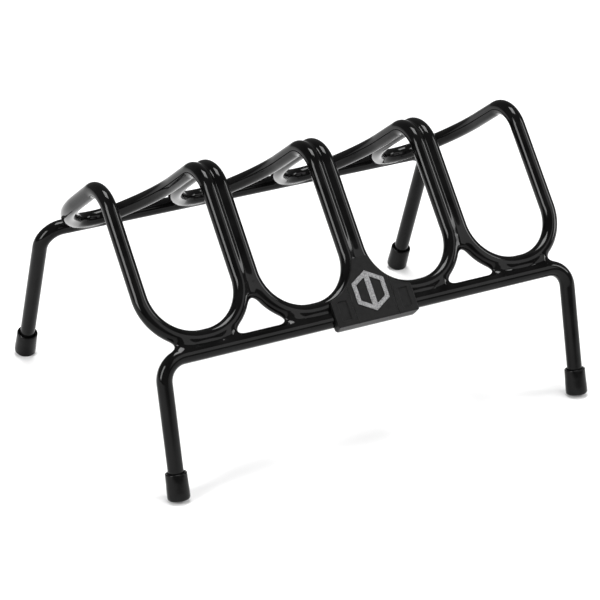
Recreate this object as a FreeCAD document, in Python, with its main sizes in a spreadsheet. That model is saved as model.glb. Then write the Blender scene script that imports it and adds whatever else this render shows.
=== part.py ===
import FreeCAD, Part
import math
import os

import Sketcher

Vector = FreeCAD.Vector
Placement = FreeCAD.Placement
Rotation = FreeCAD.Rotation

# Four-slot display rack of vinyl-dipped wire, millimetres.
# X runs along the two crossbars, the front faces -Y, Z is up and the feet rest on Z = 0.
DIMENSIONS = {
    # steel wire and its dipped coat
    "core_dia": 6.35,
    "coat_dia": 7.7,
    "rod_spacing": 6.45,
    # base rods: a crossbar with a leg turned down at each end
    "bar_half": 113.5,
    "base_bend": 11.0,
    "front_bar_height": 66.0,
    "front_leg_reach": 17.0,
    "rear_leg_reach": 27.0,
    # cradles: long closed loops, bent over at the top and narrowing towards the rear end
    "cradle_pitch": 59.0,
    "corner_bend": 25.0,
    "top_bend": 15.0,
    "front_lean": 41.0,
    "rear_fall": 36.5,
    "front_run": 83.2,
    "rear_run": 84.0,
    "shoulder_bend": 75.0,
    "taper_run": 26.8,
    "rear_end_half": 8.2,
    "rear_end_bend": 14.5,
    # weld deposits between a loop and a crossbar
    "weld_dia": 5.0,
    "weld_length": 13.0,
    "weld_coat_dia": 6.4,
    "weld_coat_length": 15.0,
    # rubber foot caps
    "cap_base_dia": 11.0,
    "cap_rim_dia": 10.6,
    "cap_length": 13.4,
    "cap_floor": 3.5,
    "cap_edge": 1.5,
    "cap_mouth": 0.5,
    "cap_flat": 0.35,
    # moulded badge plate over the front crossbar
    "badge_half": 22.5,
    "badge_top": 26.3,
    "badge_bottom": 6.6,
    "badge_side_bend": 24.0,
    "badge_front": 5.6,
    "badge_back": 1.5,
    "badge_lip_back": 0.3,
    "badge_lip_top": 2.0,
    "badge_fold_rise": 1.0,
    "badge_fold_depth": 5.4,
    "badge_line_at": 11.3,
    "badge_line_width": 0.5,
    "badge_line_depth": 0.5,
    "wing_inner": 14.4,
    "wing_outer": 19.4,
    "wing_low": 2.9,
    "wing_high": 6.8,
    # silver inlay let into the badge plate
    "inlay_half": 8.9,
    "inlay_low": 1.6,
    "inlay_high": 19.2,
    "inlay_point": 5.2,
    "inlay_stroke": 2.3,
    "inlay_bar_half": 1.5,
    "inlay_depth": 0.5,
    "inlay_proud": 0.35,
}
CRADLES = 4

doc = FreeCAD.newDocument("wire_rack")
sheet = doc.addObject("Spreadsheet::Sheet", "Dims")
for row, (alias, value) in enumerate(DIMENSIONS.items(), start=1):
    sheet.set(f"A{row}", alias)
    sheet.set(f"B{row}", str(value))
    sheet.setAlias(f"B{row}", alias)
doc.recompute()


def size(alias):
    return float(getattr(sheet, alias))


def bind(item, **expressions):
    for name, expression in expressions.items():
        item.setExpression(name, expression)


# ---- places worked out from the driving dimensions -----------------------------------------

lean = math.radians(size("front_lean"))
fall = math.radians(size("rear_fall"))
UP_FRONT = Vector(0, math.sin(lean), math.cos(lean))
DOWN_REAR = Vector(0, math.cos(fall), -math.sin(fall))
BADGE_NORMAL = Vector(0, -math.cos(lean), math.sin(lean))
spacing = size("rod_spacing")

# side view, from the front crossbar: loop bottom, top corner, loop end, rear crossbar
bar_to_corner = UP_FRONT * (spacing + size("front_run"))
corner_to_bar = DOWN_REAR * (size("rear_run") + spacing)
depth_between = (bar_to_corner + corner_to_bar).y
rear_bar_height = size("front_bar_height") + (bar_to_corner + corner_to_bar).z

front_splay = math.atan2(size("front_leg_reach"), size("front_bar_height"))
rear_splay = math.atan2(size("rear_leg_reach"), rear_bar_height)


def cap_drop(splay):
    """Height of a cap's base centre, so that its lowest edge is flattened by cap_flat."""
    edge = size("cap_edge")
    swing = (size("cap_base_dia") / 2 - edge) * math.sin(splay)
    return swing + edge * (1 - math.cos(splay)) - size("cap_flat")


def cap_overhang(splay):
    """How far a cap stands out beyond the point where its leg's axis meets the floor."""
    edge = size("cap_edge")
    rim = (size("cap_base_dia") / 2 - edge) * math.cos(splay) + edge
    return rim - (cap_drop(splay) / math.cos(splay) + edge) * math.sin(splay)


# the origin is under the middle of the outer box, so the front crossbar lies at this Y
front_edge = -size("front_leg_reach") - cap_overhang(front_splay)
rear_edge = depth_between + size("rear_leg_reach") + cap_overhang(rear_splay)
FRONT_BAR = Vector(0, -(front_edge + rear_edge) / 2, size("front_bar_height"))
REAR_BAR = FRONT_BAR + bar_to_corner + corner_to_bar
CORNER = FRONT_BAR + bar_to_corner

CRADLE_X = [(i - (CRADLES - 1) / 2) * size("cradle_pitch") for i in range(CRADLES)]


# ---- rods ----------------------------------------------------------------------------------


def rounded_loop(points, radii):
    """A closed wire of straight lines whose corners are rounded by tangent arcs."""
    arcs = []
    for i, corner in enumerate(points):
        back = (points[i - 1] - corner).normalize()
        ahead = (points[(i + 1) % len(points)] - corner).normalize()
        half = math.acos(back.dot(ahead)) / 2
        trim = radii[i] / math.tan(half)
        inward = (back + ahead).normalize()
        middle = corner + inward * (radii[i] / math.sin(half) - radii[i])
        arcs.append((corner + back * trim, middle, corner + ahead * trim))
    edges = []
    for i, arc in enumerate(arcs):
        following = arcs[(i + 1) % len(arcs)]
        edges.append(Part.Arc(*arc).toShape())
        edges.append(Part.LineSegment(arc[2], following[0]).toShape())
    return Part.Wire(edges)


def cradle_path(x):
    """Centre line of one cradle: round front end, two arms over the top, tapered rear end."""
    side = Vector((size("cradle_pitch") - spacing) / 2, 0, 0)
    tip_side = Vector(size("rear_end_half"), 0, 0)
    front = FRONT_BAR + UP_FRONT * spacing + Vector(x, 0, 0)
    top = CORNER + Vector(x, 0, 0)
    tip = REAR_BAR - DOWN_REAR * spacing + Vector(x, 0, 0)
    shoulder = tip - DOWN_REAR * size("taper_run")
    corners = [
        (front - side, size("corner_bend")),
        (top - side, size("top_bend")),
        (shoulder - side, size("shoulder_bend")),
        (tip - tip_side, size("rear_end_bend")),
        (tip + tip_side, size("rear_end_bend")),
        (shoulder + side, size("shoulder_bend")),
        (top + side, size("top_bend")),
        (front + side, size("corner_bend")),
    ]
    return rounded_loop(*zip(*corners))


def base_placement(bar, splay):
    """Frame of a base rod: origin on the floor under its bar, local Z up along its legs."""
    tilt = Rotation(Vector(1, 0, 0), -math.degrees(splay))
    up = tilt.multVec(Vector(0, 0, 1))
    return Placement(bar - up * (bar.z / up.z), tilt)


def base_path(name, bar, splay):
    """Sketch of a base rod's centre line: a leg, the crossbar and the other leg."""
    sketch = doc.addObject("Sketcher::SketchObject", name)
    flat = Rotation(Vector(1, 0, 0), 90)
    place = base_placement(bar, splay)
    sketch.Placement = place.multiply(Placement(Vector(), flat))
    half = size("bar_half")
    bend = size("base_bend")
    top = bar.z / math.cos(splay)
    foot = cap_drop(abs(splay)) / math.cos(splay) + size("cap_floor")
    left_leg = Part.LineSegment(Vector(-half, foot, 0), Vector(-half, top - bend, 0))
    bar_line = Part.LineSegment(Vector(-half + bend, top, 0), Vector(half - bend, top, 0))
    right_leg = Part.LineSegment(Vector(half, top - bend, 0), Vector(half, foot, 0))
    normal = Vector(0, 0, 1)
    left_circle = Part.Circle(Vector(-half + bend, top - bend, 0), normal, bend)
    right_circle = Part.Circle(Vector(half - bend, top - bend, 0), normal, bend)
    left_arc = Part.ArcOfCircle(left_circle, math.pi / 2, math.pi)
    right_arc = Part.ArcOfCircle(right_circle, 0, math.pi / 2)
    sketch.addGeometry([left_leg, left_arc, bar_line, right_arc, right_leg], False)
    sketch.addConstraint([
        Sketcher.Constraint("Tangent", 0, 2, 1, 2),
        Sketcher.Constraint("Tangent", 1, 1, 2, 1),
        Sketcher.Constraint("Tangent", 2, 2, 3, 2),
        Sketcher.Constraint("Tangent", 3, 1, 4, 1),
        Sketcher.Constraint("Vertical", 0),
        Sketcher.Constraint("Horizontal", 2),
        Sketcher.Constraint("Symmetric", 0, 1, 4, 2, -2),
        Sketcher.Constraint("Equal", 1, 3),
    ])
    radius = sketch.addConstraint(Sketcher.Constraint("Radius", 1, bend))
    reach = sketch.addConstraint(Sketcher.Constraint("DistanceX", 0, 1, -1, 1, half))
    low = sketch.addConstraint(Sketcher.Constraint("DistanceY", -1, 1, 0, 1, foot))
    high = sketch.addConstraint(Sketcher.Constraint("DistanceY", -1, 1, 2, 1, top))
    sketch.renameConstraint(radius, "bend")
    sketch.renameConstraint(reach, "half")
    sketch.renameConstraint(low, "foot")
    sketch.renameConstraint(high, "top")
    sketch.setExpression("Constraints.bend", "Dims.base_bend")
    sketch.setExpression("Constraints.half", "Dims.bar_half")
    doc.recompute()
    return sketch


def sweep(name, path, diameter):
    """A round rod of the cell's diameter along a path object."""
    first = path.Shape.Wires[0].OrderedEdges[0]
    start = first.valueAt(first.FirstParameter)
    along = first.tangentAt(first.FirstParameter)
    circle = doc.addObject("Part::Circle", name + "_section")
    bind(circle, Radius=f"Dims.{diameter} / 2")
    circle.Placement = Placement(start, Rotation(Vector(0, 0, 1), along))
    rod = doc.addObject("Part::Sweep", name)
    rod.Sections = [circle]
    rod.Spine = (path, [])
    rod.Solid = True
    rod.Frenet = False
    return rod


paths = {
    "front_base_rod": base_path("front_base_path", FRONT_BAR, front_splay),
    "rear_base_rod": base_path("rear_base_path", REAR_BAR, -rear_splay),
}
for number, x in enumerate(CRADLE_X, start=1):
    path = doc.addObject("Part::Feature", f"cradle_path_{number}")
    path.Shape = cradle_path(x)
    paths[f"cradle_rod_{number}"] = path

nodes = {}
outers = []
for name, path in paths.items():
    nodes[name] = sweep(name, path, "core_dia")
    outers.append(sweep(name + "_coat", path, "coat_dia"))


# ---- welds ---------------------------------------------------------------------------------


def weld_rod(name, centre, diameter, length):
    """A round bar along X, centred where a loop's end meets a crossbar."""
    bar = doc.addObject("Part::Cylinder", name)
    bind(bar, Radius=f"Dims.{diameter} / 2", Height=f"Dims.{length}")
    bar.Placement = Placement(centre - Vector(size(length) / 2, 0, 0), Rotation(Vector(0, 1, 0), 90))
    return bar


weld_bars = []
contacts = (
    ("front", FRONT_BAR + UP_FRONT * (spacing / 2)),
    ("rear", REAR_BAR - DOWN_REAR * (spacing / 2)),
)
for side, contact in contacts:
    for number, x in enumerate(CRADLE_X, start=1):
        name = f"{side}_weld_{number}"
        centre = contact + Vector(x, 0, 0)
        weld_bar = weld_rod(name + "_bar", centre, "weld_dia", "weld_length")
        weld_bars.append(weld_bar)
        outers.append(weld_rod(name + "_coat", centre, "weld_coat_dia", "weld_coat_length"))
        rods = doc.addObject("Part::Fuse", name + "_rods")
        rods.Base = nodes[side + "_base_rod"]
        rods.Tool = nodes[f"cradle_rod_{number}"]
        weld = doc.addObject("Part::Cut", name)
        weld.Base = weld_bar
        weld.Tool = rods
        nodes[name] = weld


# ---- dipped coat ---------------------------------------------------------------------------

outer = doc.addObject("Part::MultiFuse", "coat_outside")
outer.Shapes = outers
inner = doc.addObject("Part::MultiFuse", "coat_inside")
inner.Shapes = [nodes[name] for name in paths] + weld_bars
coat = doc.addObject("Part::Cut", "vinyl_coat")
coat.Base = outer
coat.Tool = inner
nodes["vinyl_coat"] = coat


# ---- helpers for bodies made from sketches -------------------------------------------------


def plane_of(body, role):
    for feature in body.Origin.OriginFeatures:
        if feature.Role == role:
            return feature
    raise ValueError(role)


def sketch_on(body, name, role, rise=0.0):
    sketch = body.newObject("Sketcher::SketchObject", name)
    sketch.AttachmentSupport = [(plane_of(body, role), "")]
    sketch.MapMode = "FlatFace"
    sketch.AttachmentOffset = Placement(Vector(0, 0, rise), Rotation())
    return sketch


def chain(sketch, points):
    """Closed outline of straight lines through the points; returns its first line's index."""
    first = sketch.GeometryCount
    ends = points[1:] + points[:1]
    for start, end in zip(points, ends):
        sketch.addGeometry(Part.LineSegment(Vector(*start, 0), Vector(*end, 0)), False)
    for i in range(len(points)):
        following = first + (i + 1) % len(points)
        sketch.addConstraint(Sketcher.Constraint("Coincident", first + i, 2, following, 1))
    return first


def pin(sketch, line, x_text, y_text):
    """Ties the start point of a line to the sketch's origin by two sheet expressions."""
    point = sketch.getPoint(line, 1)
    for kind, value, text in (("DistanceX", point.x, x_text), ("DistanceY", point.y, y_text)):
        index = sketch.addConstraint(Sketcher.Constraint(kind, -1, 1, line, 1, value))
        label = f"{kind}_{line}"
        sketch.renameConstraint(index, label)
        sketch.setExpression("Constraints." + label, text)


def pinned_outline(sketch, corners):
    """Closed outline whose corners are pairs of sheet expressions."""
    points = [[float(sketch.evalExpression(text)) for text in corner] for corner in corners]
    first = chain(sketch, points)
    for i, (x_text, y_text) in enumerate(corners):
        pin(sketch, first + i, x_text, y_text)


# ---- foot caps -----------------------------------------------------------------------------


def cap_profile(sketch):
    """Half section of a cap: flat base, rounded edge, slight taper, chamfered mouth, blind bore."""
    base = size("cap_base_dia") / 2
    rim = size("cap_rim_dia") / 2
    edge = size("cap_edge")
    top = size("cap_length")
    bore = size("coat_dia") / 2
    mouth = size("cap_mouth")
    floor = size("cap_floor")
    corner = Part.Circle(Vector(base - edge, edge, 0), Vector(0, 0, 1), edge)
    lines = [
        Part.LineSegment(Vector(0, 0, 0), Vector(base - edge, 0, 0)),
        Part.ArcOfCircle(corner, -math.pi / 2, 0),
        Part.LineSegment(Vector(base, edge, 0), Vector(rim, top, 0)),
        Part.LineSegment(Vector(rim, top, 0), Vector(bore + mouth, top, 0)),
        Part.LineSegment(Vector(bore + mouth, top, 0), Vector(bore, top - mouth, 0)),
        Part.LineSegment(Vector(bore, top - mouth, 0), Vector(bore, floor, 0)),
        Part.LineSegment(Vector(bore, floor, 0), Vector(0, floor, 0)),
        Part.LineSegment(Vector(0, floor, 0), Vector(0, 0, 0)),
    ]
    sketch.addGeometry(lines, False)
    for i in range(len(lines)):
        following = (i + 1) % len(lines)
        sketch.addConstraint(Sketcher.Constraint("Coincident", i, 2, following, 1))
    sketch.addConstraint([
        Sketcher.Constraint("Coincident", 0, 1, -1, 1),
        Sketcher.Constraint("Horizontal", 0),
        Sketcher.Constraint("Horizontal", 3),
        Sketcher.Constraint("Horizontal", 6),
        Sketcher.Constraint("Vertical", 5),
        Sketcher.Constraint("Vertical", 7),
        Sketcher.Constraint("Horizontal", 1, 3, 1, 2),
        Sketcher.Constraint("Vertical", 1, 3, 1, 1),
    ])
    driven = (
        ("radius", Sketcher.Constraint("Radius", 1, edge), "Dims.cap_edge"),
        ("base", Sketcher.Constraint("DistanceX", -1, 1, 2, 1, base), "Dims.cap_base_dia / 2"),
        ("rim", Sketcher.Constraint("DistanceX", -1, 1, 3, 1, rim), "Dims.cap_rim_dia / 2"),
        ("top", Sketcher.Constraint("DistanceY", -1, 1, 3, 1, top), "Dims.cap_length"),
        ("bore", Sketcher.Constraint("DistanceX", -1, 1, 6, 1, bore), "Dims.coat_dia / 2"),
        ("floor", Sketcher.Constraint("DistanceY", -1, 1, 6, 1, floor), "Dims.cap_floor"),
        ("mouth_x", Sketcher.Constraint("DistanceX", 5, 1, 4, 1, mouth), "Dims.cap_mouth"),
        ("mouth_y", Sketcher.Constraint("DistanceY", 5, 1, 4, 1, mouth), "Dims.cap_mouth"),
    )
    for label, constraint, text in driven:
        index = sketch.addConstraint(constraint)
        sketch.renameConstraint(index, label)
        sketch.setExpression("Constraints." + label, text)


def foot_cap(name, x, bar, splay):
    """A rubber cap on the end of a leg, its heel flattened where it bears on the table."""
    body = doc.addObject("PartDesign::Body", name + "_body")
    profile = sketch_on(body, name + "_profile", "XZ_Plane")
    cap_profile(profile)
    turn = body.newObject("PartDesign::Revolution", name + "_turn")
    turn.Profile = profile
    turn.ReferenceAxis = (profile, ["V_Axis"])
    turn.Angle = 360
    frame = base_placement(bar, splay)
    up = frame.Rotation.multVec(Vector(0, 0, 1))
    drop = cap_drop(abs(splay))
    body.Placement = Placement(frame.Base + Vector(x, 0, 0) + up * (drop / up.z), frame.Rotation)
    below = doc.addObject("Part::Box", name + "_ground")
    bind(below, Length="Dims.cap_base_dia * 2", Width="Dims.cap_base_dia * 2", Height="Dims.cap_length")
    reach = size("cap_base_dia")
    below.Placement = Placement(frame.Base + Vector(x - reach, -reach, -size("cap_length")), Rotation())
    cap = doc.addObject("Part::Cut", name)
    cap.Base = body
    cap.Tool = below
    nodes[name] = cap


for side, bar, splay in (("front", FRONT_BAR, front_splay), ("rear", REAR_BAR, -rear_splay)):
    for hand, sign in (("left", -1), ("right", 1)):
        foot_cap(f"{side}_{hand}_cap", sign * size("bar_half"), bar, splay)


# ---- badge plate ---------------------------------------------------------------------------

# Badge frame: origin on the front crossbar's axis between cradles 2 and 3, X along the bar,
# Y up in the plane of the cradles' fronts, Z out of the plate's face.
badge_turn = Rotation(Vector(1, 0, 0), UP_FRONT, BADGE_NORMAL, "XYZ")
BADGE = Placement(FRONT_BAR, badge_turn)


def badge_outline(sketch):
    """Wide foot, hollow sides that follow the loops beside them, and a short narrow top."""
    centre_x = size("cradle_pitch") / 2 - ((size("cradle_pitch") - spacing) / 2 - size("corner_bend"))
    centre_y = spacing + size("corner_bend")
    bend = size("badge_side_bend")
    half = size("badge_half")
    top = size("badge_top")
    bottom = -size("badge_bottom")
    top_angle = math.asin((centre_y - top) / bend)
    side_angle = math.acos((centre_x - half) / bend)
    top_half = centre_x - bend * math.cos(top_angle)
    shoulder = centre_y - bend * math.sin(side_angle)
    circle_right = Part.Circle(Vector(centre_x, centre_y, 0), Vector(0, 0, 1), bend)
    circle_left = Part.Circle(Vector(-centre_x, centre_y, 0), Vector(0, 0, 1), bend)
    right = Part.ArcOfCircle(circle_right, math.pi + top_angle, math.pi + side_angle)
    left = Part.ArcOfCircle(circle_left, -side_angle, -top_angle)
    edges = [
        Part.LineSegment(Vector(-half, bottom, 0), Vector(half, bottom, 0)),
        Part.LineSegment(Vector(half, bottom, 0), Vector(half, shoulder, 0)),
        right,
        Part.LineSegment(Vector(top_half, top, 0), Vector(-top_half, top, 0)),
        left,
        Part.LineSegment(Vector(-half, shoulder, 0), Vector(-half, bottom, 0)),
    ]
    sketch.addGeometry(edges, False)
    sketch.addConstraint([
        Sketcher.Constraint("Coincident", 0, 2, 1, 1),
        Sketcher.Constraint("Coincident", 1, 2, 2, 2),
        Sketcher.Constraint("Coincident", 2, 1, 3, 1),
        Sketcher.Constraint("Coincident", 3, 2, 4, 2),
        Sketcher.Constraint("Coincident", 4, 1, 5, 1),
        Sketcher.Constraint("Coincident", 5, 2, 0, 1),
        Sketcher.Constraint("Vertical", 1),
        Sketcher.Constraint("Horizontal", 3),
        Sketcher.Constraint("Vertical", 5),
        Sketcher.Constraint("Symmetric", 0, 1, 0, 2, -2),
        Sketcher.Constraint("Symmetric", 2, 3, 4, 3, -2),
        Sketcher.Constraint("Equal", 2, 4),
    ])
    driven = (
        ("radius", Sketcher.Constraint("Radius", 2, bend), "Dims.badge_side_bend"),
        ("half", Sketcher.Constraint("DistanceX", -1, 1, 0, 2, half), "Dims.badge_half"),
        ("bottom", Sketcher.Constraint("DistanceY", 0, 1, -1, 1, -bottom), "Dims.badge_bottom"),
        ("top", Sketcher.Constraint("DistanceY", -1, 1, 3, 1, top), "Dims.badge_top"),
        ("arc_x", Sketcher.Constraint("DistanceX", -1, 1, 2, 3, centre_x),
         "Dims.rod_spacing / 2 + Dims.corner_bend"),
        ("arc_y", Sketcher.Constraint("DistanceY", -1, 1, 2, 3, centre_y),
         "Dims.rod_spacing + Dims.corner_bend"),
    )
    for label, constraint, text in driven:
        index = sketch.addConstraint(constraint)
        sketch.renameConstraint(index, label)
        sketch.setExpression("Constraints." + label, text)


def box_outline(sketch, left, low, right, high):
    """Upright rectangle between two corners given as sheet expressions."""
    pinned_outline(sketch, [(left, low), (right, low), (right, high), (left, high)])


def pad(body, name, sketch, length):
    feature = body.newObject("PartDesign::Pad", name)
    feature.Profile = sketch
    feature.setExpression("Length", length)
    return feature


def pocket(body, name, sketch, depth):
    """Pocket into the body from a sketch on its front; fails if nothing is cut away."""
    doc.recompute()
    before = body.Shape.Volume
    feature = body.newObject("PartDesign::Pocket", name)
    feature.Profile = sketch
    feature.setExpression("Length", depth)
    doc.recompute()
    if body.Shape.Volume >= before:
        raise RuntimeError(name + " cuts nothing")
    return feature


plate = doc.addObject("PartDesign::Body", "badge_body")
plate.Placement = BADGE
face_sketch = sketch_on(plate, "badge_face", "XY_Plane", size("badge_back"))
face_sketch.setExpression("AttachmentOffset.Base.z", "Dims.badge_back")
badge_outline(face_sketch)
pad(plate, "badge_pad", face_sketch, "Dims.badge_front - Dims.badge_back")

lip_sketch = sketch_on(plate, "badge_lip", "XY_Plane", -size("badge_lip_back"))
lip_sketch.setExpression("AttachmentOffset.Base.z", "-Dims.badge_lip_back")
box_outline(lip_sketch, "-Dims.badge_half", "-Dims.badge_bottom", "Dims.badge_half", "-Dims.badge_lip_top")
pad(plate, "badge_lip_pad", lip_sketch, "Dims.badge_front - Dims.badge_lip_back")
doc.recompute()

blank = plate.Tip
low_front = Vector(0, -size("badge_bottom"), size("badge_front"))
lower_edges = []
for index, edge in enumerate(blank.Shape.Edges, start=1):
    offset = edge.CenterOfMass - low_front
    if offset.Length < 1e-3 and edge.Length > size("badge_half"):
        lower_edges.append(f"Edge{index}")
fold = plate.newObject("PartDesign::Chamfer", "badge_fold")
fold.Base = (blank, lower_edges)
fold.ChamferType = "Two distances"
fold.setExpression("Size", "Dims.badge_fold_rise")
fold.setExpression("Size2", "Dims.badge_fold_depth")

marks = sketch_on(plate, "badge_marks", "XY_Plane", size("badge_front"))
marks.setExpression("AttachmentOffset.Base.z", "Dims.badge_front")
line_low = "-Dims.badge_bottom + 2 * Dims.badge_fold_rise"
line_high = "Dims.inlay_high - Dims.inlay_point"
for sign in ("", "-"):
    near = f"{sign}(Dims.badge_line_at)"
    far = f"{sign}(Dims.badge_line_at + Dims.badge_line_width)"
    box_outline(marks, near, line_low, far, line_high)
    near = f"{sign}(Dims.wing_inner)"
    far = f"{sign}(Dims.wing_outer)"
    box_outline(marks, near, "-Dims.wing_low", far, "Dims.wing_high")
pocket(plate, "badge_marks_cut", marks, "Dims.badge_line_depth")


def inlay_outline(sketch):
    """Outside of the inlay: an upright hexagon with a point at its top and its bottom."""
    half = "Dims.inlay_half"
    low = "-Dims.inlay_low"
    high = "Dims.inlay_high"
    pinned_outline(sketch, [
        ("0", low),
        (half, f"{low} + Dims.inlay_point"),
        (half, f"{high} - Dims.inlay_point"),
        ("0", high),
        (f"-{half}", f"{high} - Dims.inlay_point"),
        (f"-{half}", f"{low} + Dims.inlay_point"),
    ])


def inlay_window(sketch, sign):
    """One of the two openings left in the hexagon beside its upright bar."""
    near = f"{sign}(Dims.inlay_bar_half)"
    far = f"{sign}(Dims.inlay_half - Dims.inlay_stroke)"
    low = "-Dims.inlay_low + Dims.inlay_stroke"
    high = "Dims.inlay_high - Dims.inlay_stroke"
    pinned_outline(sketch, [
        (near, f"{low} + Dims.inlay_stroke / 2"),
        (far, f"{low} + Dims.inlay_point"),
        (far, f"{high} - Dims.inlay_point"),
        (near, f"{high} - Dims.inlay_stroke / 2"),
    ])


def inlay_sketch(body, name, rise):
    sketch = sketch_on(body, name, "XY_Plane")
    sketch.setExpression("AttachmentOffset.Base.z", rise)
    inlay_outline(sketch)
    for sign in ("", "-"):
        inlay_window(sketch, sign)
    return sketch


seat = inlay_sketch(plate, "badge_seat", "Dims.badge_front")
pocket(plate, "badge_seat_cut", seat, "Dims.inlay_depth")

badge = doc.addObject("Part::Cut", "badge_plate")
badge.Base = plate
badge.Tool = outer
nodes["badge_plate"] = badge

inlay = doc.addObject("PartDesign::Body", "badge_inlay")
inlay.Placement = BADGE
ring = inlay_sketch(inlay, "inlay_ring", "Dims.badge_front - Dims.inlay_depth")
pad(inlay, "inlay_pad", ring, "Dims.inlay_depth + Dims.inlay_proud")
nodes["badge_inlay"] = inlay


# ---- check and write -----------------------------------------------------------------------

for name, item in nodes.items():
    item.Label = name
doc.recompute()

for item in doc.Objects:
    if "Invalid" in item.State or "Error" in item.State:
        raise RuntimeError(item.Name + " failed to recompute")

os.makedirs("parts", exist_ok=True)
for name, item in nodes.items():
    shape = item.Shape
    if shape.isNull() or not shape.isValid() or shape.Volume <= 0:
        raise RuntimeError(name + " has no valid solid")
    shape.exportStep(os.path.join("parts", name + ".step"))
    print(f"{name}: {len(shape.Solids)} solid, {shape.Volume:.1f} mm3")
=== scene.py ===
import math

import bpy
import bmesh
import numpy as np
from mathutils import Matrix, Vector


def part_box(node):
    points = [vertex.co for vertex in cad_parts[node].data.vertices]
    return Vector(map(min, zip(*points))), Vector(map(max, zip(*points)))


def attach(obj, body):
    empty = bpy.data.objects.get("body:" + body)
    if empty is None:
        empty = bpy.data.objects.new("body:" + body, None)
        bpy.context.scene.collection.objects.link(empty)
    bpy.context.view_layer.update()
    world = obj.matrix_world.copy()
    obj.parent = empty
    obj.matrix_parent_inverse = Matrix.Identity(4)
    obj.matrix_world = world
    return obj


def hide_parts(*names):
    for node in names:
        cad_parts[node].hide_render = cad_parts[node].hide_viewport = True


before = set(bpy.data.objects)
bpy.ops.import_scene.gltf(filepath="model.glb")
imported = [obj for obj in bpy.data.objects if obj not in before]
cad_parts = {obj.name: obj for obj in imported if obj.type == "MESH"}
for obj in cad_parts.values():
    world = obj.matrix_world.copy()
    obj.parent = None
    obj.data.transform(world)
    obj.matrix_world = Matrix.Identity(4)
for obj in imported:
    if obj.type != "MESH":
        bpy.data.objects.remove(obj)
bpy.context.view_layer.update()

MM = 0.001

# ---- driving dimensions, millimetres, as in the CAD model ----------------------------------

COAT_R = 3.85            # dipped wire
SPACING = 6.45           # axis to axis where two wires touch
BAR_HALF = 113.5         # half a crossbar, to its legs' axes
BASE_BEND = 11.0
FRONT_BAR_HEIGHT = 66.0
FRONT_REACH = 17.0
REAR_REACH = 27.0
PITCH = 59.0
CRADLES = 4
CORNER_BEND = 25.0
TOP_BEND = 15.0
LEAN = math.radians(41.0)
FALL = math.radians(36.5)
FRONT_RUN = 83.2
REAR_RUN = 84.0
SHOULDER_BEND = 75.0     # where a cradle's arms start to close in towards its rear end
TAPER_RUN = 26.8
REAR_END_HALF = 8.2
REAR_END_BEND = 14.5

CAP_BASE_R = 5.5
CAP_RIM_R = 5.3
CAP_LENGTH = 13.4
CAP_FLOOR = 3.5
CAP_EDGE = 1.5
CAP_FLAT = 0.35

BADGE_HALF = 22.5
BADGE_TOP = 26.3
BADGE_BOTTOM = 6.6
BADGE_SIDE_BEND = 24.0
BADGE_FRONT = 5.6
BADGE_BACK = 1.5
BADGE_LIP_BACK = 0.3
BADGE_LIP_TOP = 2.0
BADGE_FOLD_RISE = 1.0
BADGE_FOLD_DEPTH = 5.4
BADGE_LINE = 11.55
WING_INNER = 14.4
WING_OUTER = 19.4
WING_LOW = -2.9
WING_HIGH = 6.8
WING_DEPTH = 0.5

INLAY_HALF = 8.9
INLAY_LOW = -1.6
INLAY_HIGH = 19.2
INLAY_POINT = 5.2
INLAY_STROKE = 2.3
INLAY_BAR_HALF = 1.5
INLAY_PROUD = 0.35

# ---- finish that only this model has, millimetres ------------------------------------------

# The dip fills the grooves between wires. Each of these is a fillet radius by distance.
# Along two arms, by the distance from the front or the rear crossbar:
ARM_FRONT_AT = (21.0, 27.0, 46.0)
ARM_FRONT_FILLET = (6.2, 3.6, 1.2)
ARM_REAR_AT = (14.0, 40.0)
ARM_REAR_FILLET = (2.6, 1.2)
# Where a loop sits on a crossbar, by the distance to either side of the loop's middle:
SEAT_FRONT_AT = (7.0, 12.5)
SEAT_FRONT_FILLET = (2.2, 5.2)
SEAT_REAR_FILLET = 3.0

CAP_SEGMENTS = 72
CAP_WALL_GAP = 0.35      # slack between cap and leg at the mouth
CAP_GRIP_GAP = 0.02      # slack where the cap grips the leg and under the leg's end
CAP_MOUTH_DEPTH = 2.6    # how far down the mouth's slack reaches
CAP_HUB_R = 1.6          # the flat discs that close the cap's base and its bore
CAP_EDGE_START = -75     # the base's rounding starts here, in degrees, to leave a crisp flat
CAP_BELLY = ((0.35, 0.02), (0.65, 0.14))    # share of the length, and how far in the wall is

BADGE_EDGE = 0.5         # rounding of the face's edge
BADGE_BACK_EDGE = 0.3    # rounding of the fold and of the back
BADGE_LOW_CORNER = 2.0   # rounding of the two lower corners, seen from the front
BADGE_CORNER = 0.8       # rounding of the other corners
BADGE_GAP = 0.03         # gap between the plate and the skin behind it
LINE_R = 0.42            # section of the fine line at each side of the figure
LINE_EDGE = 0.15
LINE_DRIFT = 0.02        # how far the line leans outwards for each millimetre up
LINE_LEVEL = 4.0         # height where the line is BADGE_LINE from the middle
WING_CORNER = 0.5
WING_EDGE = 0.2

INLAY_TRIM = 0.05        # how much smaller the figure is than its seat
INLAY_EDGE = 0.16
INLAY_SUNK = 0.2         # how far the figure reaches into the plate
INLAY_BAR_SHORT = 1.0    # how far the bar's ends stop inside the ring


def vec(*xyz):
    return np.array(xyz, float)


def unit(v):
    return v / np.linalg.norm(v)


# ---- places, from the dimensions and the frame ---------------------------------------------

X_AXIS = vec(1, 0, 0)
UP_FRONT = vec(0, math.sin(LEAN), math.cos(LEAN))
DOWN_REAR = vec(0, math.cos(FALL), -math.sin(FALL))
BADGE_OUT = vec(0, -math.cos(LEAN), math.sin(LEAN))

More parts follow.
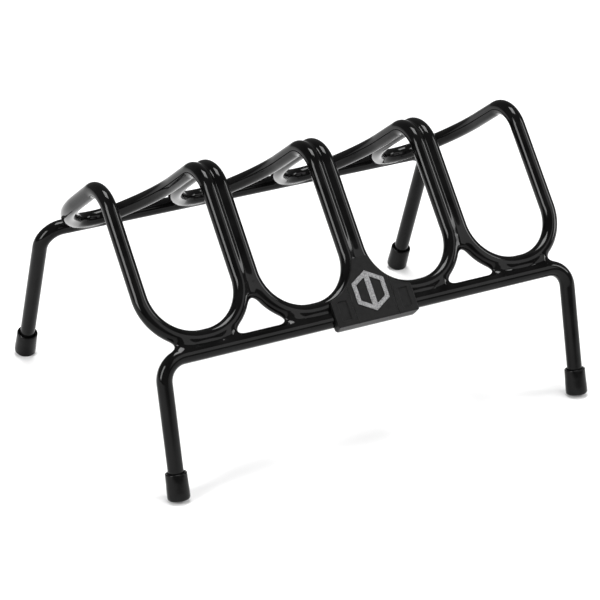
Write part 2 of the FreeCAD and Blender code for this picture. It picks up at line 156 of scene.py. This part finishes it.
ROD_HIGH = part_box("front_base_rod")[1]
CORE_R = ROD_HIGH.x / MM - BAR_HALF
FRONT_BAR = vec(0, ROD_HIGH.y / MM - CORE_R, FRONT_BAR_HEIGHT)
CORNER = FRONT_BAR + UP_FRONT * (SPACING + FRONT_RUN)
REAR_BAR = CORNER + DOWN_REAR * (REAR_RUN + SPACING)
FRONT_SPLAY = math.atan2(FRONT_REACH, FRONT_BAR_HEIGHT)
REAR_SPLAY = -math.atan2(REAR_REACH, REAR_BAR[2])


def leg_up(splay):
    """Unit vector up a leg that leans by the splay."""
    return vec(0, math.sin(splay), math.cos(splay))


def cap_drop(splay):
    """Height of a cap's base centre above the floor."""
    tilt = abs(splay)
    swing = (CAP_BASE_R - CAP_EDGE) * math.sin(tilt)
    return swing + CAP_EDGE * (1 - math.cos(tilt)) - CAP_FLAT


def foot(bar, splay):
    """Where a leg's axis meets the floor, for the leg at X = 0."""
    up = leg_up(splay)
    return bar - up * (bar[2] / up[2])


# ---- wires as distance fields --------------------------------------------------------------


def rounded_path(points, radii, closed):
    """Pieces of a centre line: straight runs and tangent arcs at the corners."""
    count = len(points)
    corners = range(count) if closed else range(1, count - 1)
    ends = {i: (points[i], points[i]) for i in range(count)}
    pieces = []
    for i in corners:
        back = unit(points[i - 1] - points[i])
        ahead = unit(points[(i + 1) % count] - points[i])
        half = math.acos(float(np.dot(back, ahead))) / 2
        trim = radii[i] / math.tan(half)
        inward = unit(back + ahead)
        centre = points[i] + inward * (radii[i] / math.sin(half))
        start = points[i] + back * trim
        first = unit(start - centre)
        turn = math.pi - 2 * half
        second = unit(-back - first * float(np.dot(-back, first)))
        pieces.append(("arc", centre, first, second, radii[i], turn))
        ends[i] = (start, points[i] + ahead * trim)
    last = count if closed else count - 1
    for i in range(last):
        pieces.append(("line", ends[i][1], ends[(i + 1) % count][0]))
    return pieces


def line_distance(p, start, end):
    along = end - start
    t = np.clip((p - start) @ along / (along @ along), 0, 1)
    return np.linalg.norm(p - start - t[:, None] * along, axis=1)


def arc_distance(p, centre, first, second, radius, turn):
    rel = p - centre
    a = rel @ first
    b = rel @ second
    out = rel @ np.cross(first, second)
    middle = turn / 2
    angle = np.arctan2(b, a) - middle
    angle = (angle + math.pi) % (2 * math.pi) - math.pi
    angle = np.clip(angle, -middle, middle) + middle
    da = a - radius * np.cos(angle)
    db = b - radius * np.sin(angle)
    return np.sqrt(da * da + db * db + out * out)


ARC_SAMPLES = 5          # points along an arc that its box is taken from
FAR = 12.0               # distances beyond this, in millimetres, aren't worked out


def piece_box(piece):
    """Corners of a box round one piece of a centre line."""
    if piece[0] == "line":
        points = np.array(piece[1:])
    else:
        _, centre, first, second, radius, turn = piece
        angles = np.linspace(0, turn, ARC_SAMPLES)[:, None]
        points = centre + radius * (np.cos(angles) * first + np.sin(angles) * second)
    return points.min(0), points.max(0)


def path_distance(p, pieces):
    """Distance from points to a centre line, cut off at FAR."""
    result = np.full(len(p), FAR)
    for piece in pieces:
        low, high = piece_box(piece)
        near = np.all((p > low - FAR) & (p < high + FAR), axis=1)
        if near.any():
            measure = line_distance if piece[0] == "line" else arc_distance
            result[near] = np.minimum(result[near], measure(p[near], *piece[1:]))
    return result


def round_union(a, b, radius):
    """Union of two distances with a fillet of the radius along their joint."""
    cut_a = np.maximum(radius - a, 0)
    cut_b = np.maximum(radius - b, 0)
    return np.maximum(radius, np.minimum(a, b)) - np.hypot(cut_a, cut_b)


def round_cut(a, b, radius):
    """Intersection of two distances with a rounded edge."""
    push_a = np.maximum(radius + a, 0)
    push_b = np.maximum(radius + b, 0)
    return np.minimum(-radius, np.maximum(a, b)) + np.hypot(push_a, push_b)


def cradle_path(x):
    """Centre line of one cradle: round front end, two arms over the top, tapered rear end."""
    shift = vec(x, 0, 0)
    side = vec((PITCH - SPACING) / 2, 0, 0)
    tip_side = vec(REAR_END_HALF, 0, 0)
    front = FRONT_BAR + UP_FRONT * SPACING + shift
    top = CORNER + shift
    tip = REAR_BAR - DOWN_REAR * SPACING + shift
    shoulder = tip - DOWN_REAR * TAPER_RUN
    left = [front - side, top - side, shoulder - side, tip - tip_side]
    right = [tip + tip_side, shoulder + side, top + side, front + side]
    radii = [CORNER_BEND, TOP_BEND, SHOULDER_BEND, REAR_END_BEND]
    return rounded_path(left + right, radii + radii[::-1], True)


def base_path(bar, splay):
    """Centre line of a base rod; its ends stop a wire's radius short, where the field rounds."""
    up = leg_up(splay)
    end = foot(bar, splay) + up * (cap_drop(splay) / up[2] + CAP_FLOOR + COAT_R)
    side = vec(BAR_HALF, 0, 0)
    points = [end - side, bar - side, bar + side, end + side]
    return rounded_path(points, [0, BASE_BEND, BASE_BEND, 0], False)


CRADLE_X = [(i - (CRADLES - 1) / 2) * PITCH for i in range(CRADLES)]
CRADLE_PATHS = [cradle_path(x) for x in CRADLE_X]
BASE_PATHS = [base_path(FRONT_BAR, FRONT_SPLAY), base_path(REAR_BAR, REAR_SPLAY)]


def arm_fillet(p):
    """Fillet radius at points between two arms that touch."""
    front = np.interp((p - FRONT_BAR) @ UP_FRONT, ARM_FRONT_AT, ARM_FRONT_FILLET)
    rear = np.interp((REAR_BAR - p) @ DOWN_REAR, ARM_REAR_AT, ARM_REAR_FILLET)
    return np.where(p[:, 1] < CORNER[1], front, rear)


def seat_fillet(p):
    """Fillet radius at points between a loop and a crossbar."""
    aside = np.abs((p[:, 0] / PITCH) % 1 - 0.5) * PITCH
    front = np.interp(aside, SEAT_FRONT_AT, SEAT_FRONT_FILLET)
    return np.where(p[:, 1] < CORNER[1], front, SEAT_REAR_FILLET)


def skin_field(p):
    """Signed distance to the dipped frame: all wires in one coat."""
    result = path_distance(p, CRADLE_PATHS[0]) - COAT_R
    for pieces in CRADLE_PATHS[1:]:
        result = round_union(result, path_distance(p, pieces) - COAT_R, arm_fillet(p))
    for pieces in BASE_PATHS:
        result = round_union(result, path_distance(p, pieces) - COAT_R, seat_fillet(p))
    return result


# ---- meshes from distance fields -----------------------------------------------------------

BOX_CORNERS = np.array([(i, j, k) for i in (0, 1) for j in (0, 1) for k in (0, 1)])
BOX_EDGES = [(a, b) for a in range(8) for b in range(a + 1, 8)
             if np.abs(BOX_CORNERS[a] - BOX_CORNERS[b]).sum() == 1]
# Corners of each side of a cell, in order round it; a corner's number is 4 i + 2 j + k.
BOX_FACES = [(side, side + one, side + one + two, side + two)
             for axis, one, two in ((4, 2, 1), (2, 1, 4), (1, 4, 2)) for side in (0, axis)]
JOIN_ROUNDS = 12
GRID_MARGIN = 2.3        # cells round the box; not whole, so no flat side lies along the grid
TETRAHEDRON = np.array([(1, 1, 1), (1, -1, -1), (-1, 1, -1), (-1, -1, 1)], float)
SLOPE_STEP = 0.02        # millimetres between the samples of a slope
CELL_REACH = 1.25        # a cell is kept when its centre is nearer than this many cells
NEWTON_STEPS = 3
LEAST_SLOPE = 0.25       # squared; keeps a step short where the field is nearly level


def gradient(field, p):
    """Gradient by four samples at a tetrahedron's corners."""
    total = np.zeros_like(p)
    for corner in TETRAHEDRON:
        total += field(p + corner * SLOPE_STEP)[:, None] * corner
    return total / (4 * SLOPE_STEP)


def active_cells(field, low, high, cell, levels):
    """Integer cells of the finest grid that the surface may cross."""
    counts = np.ceil((high - low) / (cell * 2 ** levels)).astype(int)
    grid = np.indices(counts).reshape(3, -1).T
    for level in range(levels, -1, -1):
        size = cell * 2 ** level
        keep = np.abs(field(low + (grid + 0.5) * size)) < size * CELL_REACH
        grid = grid[keep]
        if level:
            grid = (grid[:, None, :] * 2 + BOX_CORNERS).reshape(-1, 3)
    return grid


def unpack(keys, weights):
    """Grid places from their keys."""
    i, rest = np.divmod(keys, weights[0])
    j, k = np.divmod(rest, weights[1])
    return np.stack([i, j, k], 1)


def mean_cut(value):
    """Mean of the places where the surface cuts each cell's edges, in cells from its corner."""
    total = np.zeros((len(value), 3))
    hits = np.zeros(len(value))
    for a, b in BOX_EDGES:
        start, end = value[:, a], value[:, b]
        cut = (start < 0) != (end < 0)
        t = np.where(cut, start / np.where(cut, start - end, 1), 0)
        point = BOX_CORNERS[a] + t[:, None] * (BOX_CORNERS[b] - BOX_CORNERS[a])
        total += np.where(cut[:, None], point, 0)
        hits += cut
    return total / hits[:, None]


def join_diagonals(value, slots):
    """Flips the weakest corner of each cell face whose corners lie in and out by turns.

    Without it, four faces of the mesh would share one edge there.
    """
    for _ in range(JOIN_ROUNDS):
        inside = value[slots] < 0
        weakest = []
        for face in BOX_FACES:
            ring = inside[:, face]
            odd = (ring[:, 0] == ring[:, 2]) & (ring[:, 1] == ring[:, 3]) & (ring[:, 0] != ring[:, 1])
            corners = slots[odd][:, face]
            pick = np.abs(value[corners]).argmin(1)
            weakest.append(corners[np.arange(len(corners)), pick])
        weakest = np.unique(np.concatenate(weakest))
        if len(weakest) == 0:
            return
        value[weakest] *= -1


def settle(field, points, limit):
    """Moves points onto the surface by Newton steps, none longer than the limit on an axis."""
    for _ in range(NEWTON_STEPS):
        slope = gradient(field, points)
        steep = np.maximum((slope ** 2).sum(1), LEAST_SLOPE)
        move = field(points)[:, None] * slope / steep[:, None]
        points = points - np.clip(move, -limit, limit)
    return points


def surface_quads(node_keys, cell_keys, value, weights):
    """A face across each grid edge that the surface cuts, facing out of the shape."""
    quads = []
    for axis in range(3):
        ahead, one, two = (weights[(axis + turn) % 3] for turn in range(3))
        found = np.searchsorted(node_keys, node_keys + ahead)
        found = np.minimum(found, len(node_keys) - 1)
        linked = node_keys[found] == node_keys + ahead
        cut = linked & ((value < 0) != (value[found] < 0))
        around = node_keys[cut][:, None] + np.array([-one - two, -two, 0, -one])
        index = np.searchsorted(cell_keys, around)
        index = np.minimum(index, len(cell_keys) - 1)
        whole = (cell_keys[index] == around).all(1)
        index = index[whole]
        flip = value[cut][whole] >= 0
        index[flip] = index[flip][:, ::-1]
        quads.append(index)
    return np.concatenate(quads)


def smooth_mesh(name, points, quads, normals):
    """Mesh from points in millimetres, with the field's own normals."""
    mesh = bpy.data.meshes.new(name)
    mesh.vertices.add(len(points))
    mesh.vertices.foreach_set("co", (points * MM).astype(np.float32).ravel())
    mesh.loops.add(len(quads) * 4)
    mesh.loops.foreach_set("vertex_index", quads.astype(np.int32).ravel())
    mesh.polygons.add(len(quads))
    mesh.polygons.foreach_set("loop_start", np.arange(0, len(quads) * 4, 4, dtype=np.int32))
    mesh.update(calc_edges=True)
    mesh.validate()
    mesh.polygons.foreach_set("use_smooth", np.ones(len(mesh.polygons), bool))
    mesh.normals_split_custom_set_from_vertices(normals.astype(np.float32).tolist())
    return mesh


def field_mesh(name, field, node, cell, levels):
    """Closed mesh of a field's zero surface, searched for in a CAD node's box."""
    low, high = (np.array(corner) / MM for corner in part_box(node))
    low = low - GRID_MARGIN * cell
    high = high + GRID_MARGIN * cell
    cells = active_cells(field, low, high, cell, levels)
    span = cells.max(0) + 3
    weights = np.array([span[1] * span[2], span[2], 1], np.int64)
    corner_keys = BOX_CORNERS @ weights
    cell_keys = np.unique(cells @ weights)
    node_keys = np.unique((cell_keys[:, None] + corner_keys).ravel())
    value = field(low + unpack(node_keys, weights) * cell)

    slots = np.searchsorted(node_keys, cell_keys[:, None] + corner_keys)
    join_diagonals(value, slots)
    inside = value[slots] < 0
    crossed = inside.any(1) & ~inside.all(1)
    cell_keys = cell_keys[crossed]
    cuts = mean_cut(value[slots[crossed]])
    points = settle(field, low + (unpack(cell_keys, weights) + cuts) * cell, cell)
    quads = surface_quads(node_keys, cell_keys, value, weights)
    normals = gradient(field, points)
    normals /= np.linalg.norm(normals, axis=1)[:, None]
    return smooth_mesh(name, points, quads, normals)


def add_object(name, mesh, material, slot, *nodes):
    """Links a piece, gives it its material, and rides it on the frame's one body. The slot is not
    used.
    """
    piece = bpy.data.objects.new(name, mesh)
    bpy.context.scene.collection.objects.link(piece)
    piece.data.materials.clear()
    piece.data.materials.append(material)
    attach(piece, "root")
    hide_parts(*nodes)


# ---- materials -----------------------------------------------------------------------------

NOISE_LOW = 0.3          # nearly all of a noise lies between these two
NOISE_HIGH = 0.7


def grey(value):
    return (value, value, value)


def new_material(name, colour, roughness, metallic=0.0, gloss=0.5):
    """A Principled material; gloss is its specular level. Returns material, tree and shader."""
    material = bpy.data.materials.new(name)
    material.use_nodes = True
    tree = material.node_tree
    shader = tree.nodes["Principled BSDF"]
    shader.inputs["Base Color"].default_value = (*colour, 1)
    shader.inputs["Roughness"].default_value = roughness
    shader.inputs["Metallic"].default_value = metallic
    shader.inputs["Specular IOR Level"].default_value = gloss
    return material, tree, shader


def noise(tree, scale, detail=2.0):
    """Object-space noise; the scale is in features per metre."""
    place = tree.nodes.new("ShaderNodeTexCoord")
    texture = tree.nodes.new("ShaderNodeTexNoise")
    texture.inputs["Scale"].default_value = scale
    texture.inputs["Detail"].default_value = detail
    tree.links.new(place.outputs["Object"], texture.inputs["Vector"])
    return texture.outputs["Fac"]


def spread(tree, source, low, high, out_low, out_high):
    """Maps one range of values to another."""
    ramp = tree.nodes.new("ShaderNodeMapRange")
    ramp.inputs["From Min"].default_value = low
    ramp.inputs["From Max"].default_value = high
    ramp.inputs["To Min"].default_value = out_low
    ramp.inputs["To Max"].default_value = out_high
    tree.links.new(source, ramp.inputs["Value"])
    return ramp.outputs["Result"]


def roughen(tree, shader, source, least, most):
    """Varies the roughness by a noise. Returns the varied roughness."""
    rough = spread(tree, source, NOISE_LOW, NOISE_HIGH, least, most)
    tree.links.new(rough, shader.inputs["Roughness"])
    return rough


def bump(tree, shader, source, height, strength):
    """Adds a bump of a real height in metres."""
    node = tree.nodes.new("ShaderNodeBump")
    node.inputs["Strength"].default_value = strength
    node.inputs["Distance"].default_value = height
    tree.links.new(source, node.inputs["Height"])
    tree.links.new(node.outputs["Normal"], shader.inputs["Normal"])


def tint(tree, shader, source, dark, light):
    """Varies the base colour between two colours by a noise."""
    ramp = tree.nodes.new("ShaderNodeValToRGB")
    for element, position, colour in zip(ramp.color_ramp.elements, (0.35, 0.65), (dark, light)):
        element.position = position
        element.color = (*colour, 1)
    tree.links.new(source, ramp.inputs["Fac"])
    tree.links.new(ramp.outputs["Color"], shader.inputs["Base Color"])


def vinyl_material():
    """Black dipped vinyl: glossy, with a very fine skin."""
    material, tree, shader = new_material("dipped_vinyl", grey(0.002), 0.08, gloss=0.14)
    tint(tree, shader, noise(tree, 90), grey(0.001), grey(0.003))
    roughen(tree, shader, noise(tree, 260, 4), 0.06, 0.11)
    bump(tree, shader, noise(tree, 1400, 3), 10e-6, 0.4)
    return material


def rubber_material():
    """Black soft cap: satin with a fine moulded grain."""
    material, tree, shader = new_material("cap_rubber", grey(0.002), 0.20, gloss=0.13)
    tint(tree, shader, noise(tree, 300), grey(0.0015), grey(0.003))
    roughen(tree, shader, noise(tree, 700, 4), 0.13, 0.26)
    bump(tree, shader, noise(tree, 2600, 3), 10e-6, 0.3)
    return material


def moulding_material():
    """Matte black moulded plastic with a fine texture, polished along its lower fold."""
    material, tree, shader = new_material("badge_moulding", grey(0.004), 0.42, gloss=0.1)
    tint(tree, shader, noise(tree, 500), grey(0.003), grey(0.005))
    grain = roughen(tree, shader, noise(tree, 900, 4), 0.36, 0.48)
    place = tree.nodes.new("ShaderNodeTexCoord")
    height = tree.nodes.new("ShaderNodeVectorMath")
    height.operation = "DOT_PRODUCT"
    height.inputs[1].default_value = UP_FRONT
    tree.links.new(place.outputs["Object"], height.inputs[0])
    edge = (float(FRONT_BAR @ UP_FRONT) - BADGE_BOTTOM + BADGE_FOLD_RISE) * MM
    polish = spread(tree, height.outputs["Value"], edge - 0.1 * MM, edge + 0.3 * MM, 0.3, 1.0)
    rough = tree.nodes.new("ShaderNodeMath")
    rough.operation = "MULTIPLY"
    tree.links.new(grain, rough.inputs[0])
    tree.links.new(polish, rough.inputs[1])
    tree.links.new(rough.outputs["Value"], shader.inputs["Roughness"])
    bump(tree, shader, noise(tree, 5200, 3), 30e-6, 0.5)
    return material


def silver_material():
    """Frosted silver paint on the raised figure."""
    material, tree, shader = new_material("frosted_silver", (0.17, 0.17, 0.173), 0.42, 0.85)
    tint(tree, shader, noise(tree, 1500, 4), (0.10, 0.10, 0.102), (0.24, 0.24, 0.243))
    roughen(tree, shader, noise(tree, 2400, 4), 0.36, 0.55)
    bump(tree, shader, noise(tree, 3600, 3), 40e-6, 0.6)
    return material


def steel_material():
    """Drawn steel wire, as it is under the dip."""
    material, tree, shader = new_material("drawn_wire", (0.36, 0.36, 0.37), 0.35, 1.0)
    tint(tree, shader, noise(tree, 400, 4), (0.28, 0.28, 0.29), (0.42, 0.42, 0.43))
    roughen(tree, shader, noise(tree, 900, 3), 0.28, 0.46)
    bump(tree, shader, noise(tree, 2000), 20e-6, 0.5)
    return material


def weld_material():
    """Resistance weld: dull, blued steel."""
    material, tree, shader = new_material("weld_bead", (0.16, 0.15, 0.15), 0.5, 1.0)
    tint(tree, shader, noise(tree, 700, 4), (0.09, 0.09, 0.12), (0.24, 0.21, 0.18))
    roughen(tree, shader, noise(tree, 1200, 3), 0.4, 0.65)
    bump(tree, shader, noise(tree, 1800, 3), 80e-6, 0.7)
    return material


def paper_material():
    """Pale paper under the object."""
    material, tree, shader = new_material("studio_paper", grey(0.80), 0.9)
    tint(tree, shader, noise(tree, 30, 3), grey(0.795), grey(0.805))
    return material


VINYL = vinyl_material()
RUBBER = rubber_material()
MOULDING = moulding_material()
SILVER = silver_material()
STEEL = steel_material()
WELD = weld_material()
PAPER = paper_material()


def dress_hidden_nodes():
    """Gives the wires and welds inside the dip their own materials."""
    for name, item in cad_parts.items():
        if "_rod" in name or "_weld_" in name:
            item.data.materials.clear()
            item.data.materials.append(STEEL if "_rod" in name else WELD)


# ---- the dipped frame ----------------------------------------------------------------------


def make_skin():
    cell = 0.7
    mesh = field_mesh("dipped_skin", skin_field, "vinyl_coat", cell, levels=4)
    add_object("dipped_skin", mesh, VINYL, "vinyl", "vinyl_coat")


# ---- caps ----------------------------------------------------------------------------------


def round_corner(centre_r, centre_h, radius, start, end, steps):
    """Profile points (radius, height) along an arc, angles in degrees."""
    points = []
    for step in range(steps + 1):
        angle = math.radians(start + (end - start) * step / steps)
        points.append((centre_r + radius * math.cos(angle), centre_h + radius * math.sin(angle)))
    return points


def cap_profile():
    """Cap section, from the middle of its base out and up, over the rim and down inside."""
    inner = COAT_R + CAP_WALL_GAP
    grip = COAT_R + CAP_GRIP_GAP
    floor = CAP_FLOOR - CAP_GRIP_GAP
    rim_r = (CAP_RIM_R - inner) / 2
    heel = CAP_BASE_R - CAP_EDGE
    base = [(CAP_HUB_R, 0.0), (heel, 0.0)]
    edge = round_corner(heel, CAP_EDGE, CAP_EDGE, CAP_EDGE_START, 0, 5)
    wall = [(CAP_BASE_R - inset, CAP_LENGTH * share) for share, inset in CAP_BELLY]
    rim = round_corner(inner + rim_r, CAP_LENGTH - rim_r, rim_r, 0, 180, 8)
    bore = [(grip, CAP_LENGTH - CAP_MOUTH_DEPTH), (grip, floor), (CAP_HUB_R, floor)]
    return base + edge + wall + rim + bore


def make_cap(name, x, bar, splay):
    """A cap turned about its leg's axis, cut flat where it bears on the floor."""
    up = leg_up(splay)
    base = foot(bar, splay) + up * (cap_drop(splay) / up[2]) + vec(x, 0, 0)
    ahead = np.cross(up, X_AXIS)
    work = bmesh.new()
    rings = []
    for radius, height in cap_profile():
        ring = []
        for step in range(CAP_SEGMENTS):
            turn = 2 * math.pi * step / CAP_SEGMENTS
            spoke = X_AXIS * math.cos(turn) + ahead * math.sin(turn)
            place = base + up * height + radius * spoke
            place[2] = max(place[2], 0.0)
            ring.append(work.verts.new(place * MM))
        rings.append(ring)
    for lower, upper in zip(rings, rings[1:]):
        for step in range(CAP_SEGMENTS):
            following = (step + 1) % CAP_SEGMENTS
            work.faces.new((lower[step], lower[following], upper[following], upper[step]))
    work.faces.new(rings[0][::-1])
    work.faces.new(rings[-1])
    bmesh.ops.recalc_face_normals(work, faces=work.faces)
    for face in work.faces:
        face.smooth = True
    mesh = bpy.data.meshes.new(name)
    work.to_mesh(mesh)
    work.free()
    add_object(name + "_moulded", mesh, RUBBER, "cap_rubber", name)


def make_caps():
    for bar, splay, end in ((FRONT_BAR, FRONT_SPLAY, "front"), (REAR_BAR, REAR_SPLAY, "rear")):
        for x, side in ((-BAR_HALF, "left"), (BAR_HALF, "right")):
            make_cap(f"{end}_{side}_cap", x, bar, splay)


# ---- badge ---------------------------------------------------------------------------------

FOLD_SLOPE = math.atan2(BADGE_FOLD_RISE, BADGE_FOLD_DEPTH)
SIDE_CENTRE_U = SPACING / 2 + CORNER_BEND
SIDE_CENTRE_V = SPACING + CORNER_BEND


def badge_coords(p):
    """Badge frame of points: u along the bar, v up the front, w out of the face."""
    rel = p - FRONT_BAR
    return rel @ X_AXIS, rel @ UP_FRONT, rel @ BADGE_OUT


def rectangle(u, v, left, right, low, high, corner=0.0):
    """Distance to a rectangle with rounded corners, in the badge's plane."""
    du = np.abs(u - (left + right) / 2) - (right - left) / 2 + corner
    dv = np.abs(v - (low + high) / 2) - (high - low) / 2 + corner
    outside = np.hypot(np.maximum(du, 0), np.maximum(dv, 0))
    return outside + np.minimum(np.maximum(du, dv), 0) - corner


def badge_outline(u, v):
    """Distance to the face's outline: a foot, two hollow sides and a short top."""
    sides = BADGE_SIDE_BEND - np.hypot(np.abs(u) - SIDE_CENTRE_U, v - SIDE_CENTRE_V)
    shape = round_cut(v - BADGE_TOP, sides, BADGE_CORNER)
    shape = round_cut(shape, np.abs(u) - BADGE_HALF, BADGE_CORNER)
    return round_cut(shape, -BADGE_BOTTOM - v, BADGE_LOW_CORNER)


def badge_field(p):
    """Signed distance to the plate: face, lower fold, lip, two lines and two recesses."""
    u, v, w = badge_coords(p)
    below = -BADGE_BOTTOM + BADGE_FOLD_RISE - v
    fold = below * math.cos(FOLD_SLOPE) + (w - BADGE_FRONT) * math.sin(FOLD_SLOPE)
    plate = round_cut(badge_outline(u, v), w - BADGE_FRONT, BADGE_EDGE)
    plate = round_cut(plate, fold, BADGE_BACK_EDGE)
    lip = np.maximum(-BADGE_LIP_BACK - w, v + BADGE_LIP_TOP)
    plate = round_cut(plate, np.minimum(BADGE_BACK - w, lip), BADGE_BACK_EDGE)
    line_u = np.abs(u) - BADGE_LINE - LINE_DRIFT * (v - LINE_LEVEL)
    line = np.hypot(line_u, w - BADGE_FRONT) - LINE_R
    plate = round_cut(plate, -line, LINE_EDGE)
    wing = rectangle(np.abs(u), v, WING_INNER, WING_OUTER, WING_LOW, WING_HIGH, WING_CORNER)
    wing = np.maximum(wing, BADGE_FRONT - WING_DEPTH - w)
    plate = round_cut(plate, -wing, WING_EDGE)
    return np.maximum(plate, BADGE_GAP - skin_field(p))


def make_badge():
    cell = 0.22
    mesh = field_mesh("badge_plate_moulded", badge_field, "badge_plate", cell, levels=5)
    add_object("badge_plate_moulded", mesh, MOULDING, "badge_plastic", "badge_plate")


def inlay_outline(u, v):
    """Distance to the raised figure: a hexagonal ring with one upright bar in it."""
    middle = (INLAY_HIGH + INLAY_LOW) / 2
    half = (INLAY_HIGH - INLAY_LOW) / 2
    rise = math.hypot(INLAY_HALF, INLAY_POINT)
    slant = (np.abs(u) * INLAY_POINT + (np.abs(v - middle) - half) * INLAY_HALF) / rise
    hexagon = np.maximum(np.abs(u) - INLAY_HALF, slant)
    ring = np.maximum(hexagon, -(hexagon + INLAY_STROKE))
    low = INLAY_LOW + INLAY_BAR_SHORT
    high = INLAY_HIGH - INLAY_BAR_SHORT
    return np.minimum(ring, rectangle(u, v, -INLAY_BAR_HALF, INLAY_BAR_HALF, low, high))


def inlay_field(p):
    """Signed distance to the figure, with softened edges and a little of it in the plate."""
    u, v, w = badge_coords(p)
    shape = round_cut(inlay_outline(u, v) + INLAY_TRIM, w - BADGE_FRONT - INLAY_PROUD, INLAY_EDGE)
    return np.maximum(shape, BADGE_FRONT - INLAY_SUNK - w)


def make_inlay():
    cell = 0.12
    mesh = field_mesh("badge_inlay_painted", inlay_field, "badge_inlay", cell, levels=5)
    add_object("badge_inlay_painted", mesh, SILVER, "inlay_silver", "badge_inlay")


# ---- stage, lights and camera, in metres ---------------------------------------------------

FLOOR_HALF = 4.0
WORLD_LIGHT = 0.25
LIGHTS_AIM = Vector((0, 0, 0.07))
# name, place, width and height, power in watts
SOFTBOXES = (
    ("overhead", (0.1, 0.25, 1.7), (0.75, 0.75), 30),
    ("left_box", (-1.5, -0.25, 0.75), (0.55, 1.1), 28),
    ("right_box", (1.5, -0.6, 0.9), (0.4, 1.2), 16),
    ("front_fill", (0.7, -1.7, 1.3), (1.8, 1.4), 18),
)

CAMERA_AIM = Vector((0.00082, 0, 0.04167))
CAMERA_LEFT = math.radians(30.067)      # round from straight ahead of the front
CAMERA_UP = math.radians(25.666)        # above level
CAMERA_ROLL = math.radians(0.916)
CAMERA_DISTANCE = 1.33862
CAMERA_SENSOR = 36
CAMERA_LENS = 158.2


def make_floor():
    work = bmesh.new()
    bmesh.ops.create_grid(work, x_segments=2, y_segments=2, size=FLOOR_HALF)
    mesh = bpy.data.meshes.new("floor")
    work.to_mesh(mesh)
    work.free()
    floor = bpy.data.objects.new("floor", mesh)
    bpy.context.scene.collection.objects.link(floor)
    mesh.materials.append(PAPER)


def make_softbox(name, place, size, power):
    light = bpy.data.lights.new(name, "AREA")
    light.shape = "RECTANGLE"
    light.size, light.size_y = size
    light.energy = power
    lamp = bpy.data.objects.new(name, light)
    lamp.location = place
    lamp.rotation_euler = (LIGHTS_AIM - Vector(place)).to_track_quat("-Z", "Y").to_euler()
    bpy.context.scene.collection.objects.link(lamp)


def make_studio():
    world = bpy.data.worlds.new("studio")
    bpy.context.scene.world = world
    world.use_nodes = True
    world.node_tree.nodes["Background"].inputs["Color"].default_value = (1, 1, 1, 1)
    world.node_tree.nodes["Background"].inputs["Strength"].default_value = WORLD_LIGHT
    for name, place, size, power in SOFTBOXES:
        make_softbox(name, place, size, power)


def make_camera():
    back = Vector((-math.sin(CAMERA_LEFT) * math.cos(CAMERA_UP),
                   -math.cos(CAMERA_LEFT) * math.cos(CAMERA_UP),
                   math.sin(CAMERA_UP)))
    level = Vector((math.cos(CAMERA_LEFT), -math.sin(CAMERA_LEFT), 0))
    right = Matrix.Rotation(CAMERA_ROLL, 3, back) @ level
    up = back.cross(right)
    camera = bpy.data.cameras.new("camera")
    camera.sensor_width = CAMERA_SENSOR
    camera.lens = CAMERA_LENS
    camera.clip_end = 50
    item = bpy.data.objects.new("camera", camera)
    place = Matrix.Translation(CAMERA_AIM + back * CAMERA_DISTANCE)
    item.matrix_world = place @ Matrix((right, up, back)).transposed().to_4x4()
    bpy.context.scene.collection.objects.link(item)
    bpy.context.scene.camera = item


bpy.context.scene.view_settings.view_transform = "Standard"
make_camera()
make_studio()
make_floor()
dress_hidden_nodes()
make_skin()
make_caps()
make_badge()
make_inlay()
